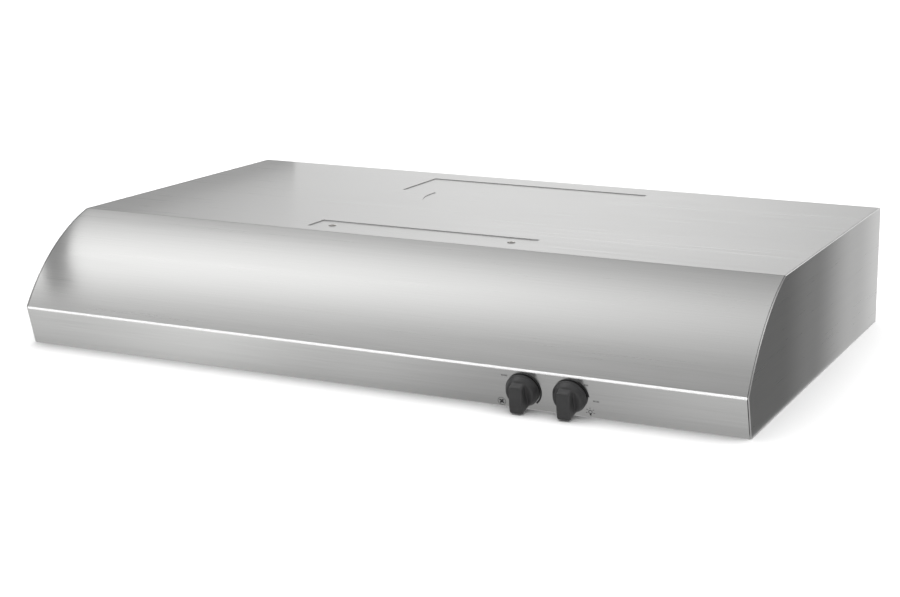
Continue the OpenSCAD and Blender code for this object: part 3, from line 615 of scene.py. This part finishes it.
def card(name, middle_mm, size_mm, turn, along_x, along_y=((0.0, 1.0), (1.0, 1.0))):
    """A glowing panel that only mirror reflections see, graded along both its axes."""
    panel = primitive("plane", name, size=1)
    panel.scale = (size_mm[0] * MM, size_mm[1] * MM, 1)
    apply_place(panel)
    shine = blank(name + "_glow")
    place = add(shine, "ShaderNodeTexCoord")
    parts = add(shine, "ShaderNodeSeparateXYZ", {0: place.outputs["Object"]})
    grades = []
    for axis, length, stops in (("X", size_mm[0], along_x), ("Y", size_mm[1], along_y)):
        share = add(shine, "ShaderNodeMapRange",
                    {"Value": parts.outputs[axis], "From Min": -length * MM / 2,
                     "From Max": length * MM / 2})
        grade = add(shine, "ShaderNodeValToRGB", {"Fac": share.outputs[0]})
        shade_ramp(grade.color_ramp, stops)
        grades.append(grade.outputs[0])
    light = add(shine, "ShaderNodeMath", {0: grades[0], 1: grades[1]}, operation="MULTIPLY")
    glow_shader = add(shine, "ShaderNodeEmission", {"Color": light.outputs[0]})
    panel.data.materials.append(close(shine, glow_shader))
    x, y, z = middle_mm
    panel.location = (x * MM, y * MM + BACK_Y, z * MM)
    panel.rotation_euler = [math.radians(a) for a in turn]
    for ray in ("camera", "diffuse", "shadow", "transmission"):
        setattr(panel, "visible_" + ray, False)


def shade_ramp(ramp, stops):
    """Fills a colour ramp with greys."""
    ramp.interpolation = "EASE"
    while len(ramp.elements) < len(stops):
        ramp.elements.new(0.5)
    for element, (position, value) in zip(ramp.elements, stops):
        element.position = position
        element.color = (value, value, value, 1)


# Beside the right panel: shades its front and leaves its back light.
card("side_flag", (381, -130, 130), (760, 262), (90, 0, 90),
     ((0.0, 0.15), (0.18, 0.155), (0.32, 0.24), (0.54, 0.55), (0.72, 0.80), (1.0, 0.92)))
# Past the top's left end.
card("top_flag", (-418, -190, 148), (640, 46), (90, 0, 90), ((0.0, 0.36), (1.0, 0.44)))
# The floor that the sheets mirror, all round.
card("wide_flag", (0, 0, 0.25), (9000, 9000), (0, 0, 0), ((0.0, 0.66), (1.0, 0.66)))
# On the floor before the fascia: lightest left of its middle, darker below the knobs, and
# darker close to the hood than further out.
card("floor_flag", (20, -762, 0.5), (1100, 600), (0, 0, 0),
     ((0.0, 0.60), (0.14, 0.74), (0.30, 0.86), (0.46, 0.66), (0.62, 0.46), (0.80, 0.62),
      (1.0, 0.64)),
     ((0.0, 1.1), (0.90, 1.15), (0.96, 0.95), (1.0, 0.78)))


def lamp(kind, name, place, aim, **settings):
    """A light that mirror reflections don't see."""
    light = bpy.data.lights.new(name, kind)
    for setting, value in settings.items():
        setattr(light, setting, value)
    made = bpy.data.objects.new(name, light)
    made.location = place
    made.rotation_euler = (Vector(aim) - Vector(place)).to_track_quat("-Z", "Y").to_euler()
    made.visible_glossy = False
    bpy.context.scene.collection.objects.link(made)


lamp("SUN", "overhead", (0.5, 1.3, 3.0), (0, 0, 0), energy=3.1, angle=math.radians(110))
lamp("AREA", "front_fill", (0.9, -3.0, 1.6), (0, 0, 0.05), energy=10, shape="RECTANGLE",
     size=2.0, size_y=0.9)

world = bpy.data.worlds.new("studio")
bpy.context.scene.world = world
world.use_nodes = True
sky = world.node_tree
sky.nodes.clear()


def sky_node(kind, links=None, **settings):
    made = sky.nodes.new(kind)
    for name, value in settings.items():
        setattr(made, name, value)
    for socket, value in (links or {}).items():
        if isinstance(value, bpy.types.NodeSocket):
            sky.links.new(value, made.inputs[socket])
        else:
            made.inputs[socket].default_value = value
    return made


def glow(elevation, azimuth, spread, strength, below):
    """Adds a soft round light, angles in degrees, azimuth from +Y towards +X."""
    up, round_z = math.radians(elevation), math.radians(azimuth)
    towards = (math.sin(round_z) * math.cos(up), math.cos(round_z) * math.cos(up),
               math.sin(up))
    near = sky_node("ShaderNodeVectorMath",
                    {0: direction.outputs["Generated"], 1: towards}, operation="DOT_PRODUCT")
    ahead = sky_node("ShaderNodeMath", {0: near.outputs["Value"], 1: 0.0},
                     operation="MAXIMUM")
    round_light = sky_node("ShaderNodeMath",
                           {0: ahead.outputs[0], 1: 2 / math.radians(spread) ** 2},
                           operation="POWER")
    return sky_node("ShaderNodeMath",
                    {0: round_light.outputs[0], 1: strength, 2: below},
                    operation="MULTIPLY_ADD").outputs[0]


direction = sky_node("ShaderNodeTexCoord")
DOME = 0.36
# elevation, azimuth, spread and strength: four soft lights high on the left, one low behind
GLOWS = ((60, -90, 19, 1.17), (45, -108, 12, 0.73), (52, -51, 12, 0.23),
         (36, -136, 12, 0.22), (7, -22, 14, 1.40))
total = DOME
for elevation, azimuth, spread, strength in GLOWS:
    total = glow(elevation, azimuth, spread, strength, total)
light = sky_node("ShaderNodeBackground", {"Color": total, "Strength": 1.0})
sky_node("ShaderNodeOutputWorld", {"Surface": light.outputs[0]})

camera = bpy.data.cameras.new("camera")
camera.lens = 73.16
camera.sensor_width = 36
camera.shift_y = -0.1
camera.clip_end = 60
eye = bpy.data.objects.new("camera", camera)
eye.location = (0.798, -1.9215 + BACK_Y, 0.4766)
eye.rotation_euler = (math.radians(90 - 10.47), 0, math.radians(25.75))
bpy.context.scene.collection.objects.link(eye)
bpy.context.scene.camera = eye
bpy.context.scene.view_settings.view_transform = "Standard"
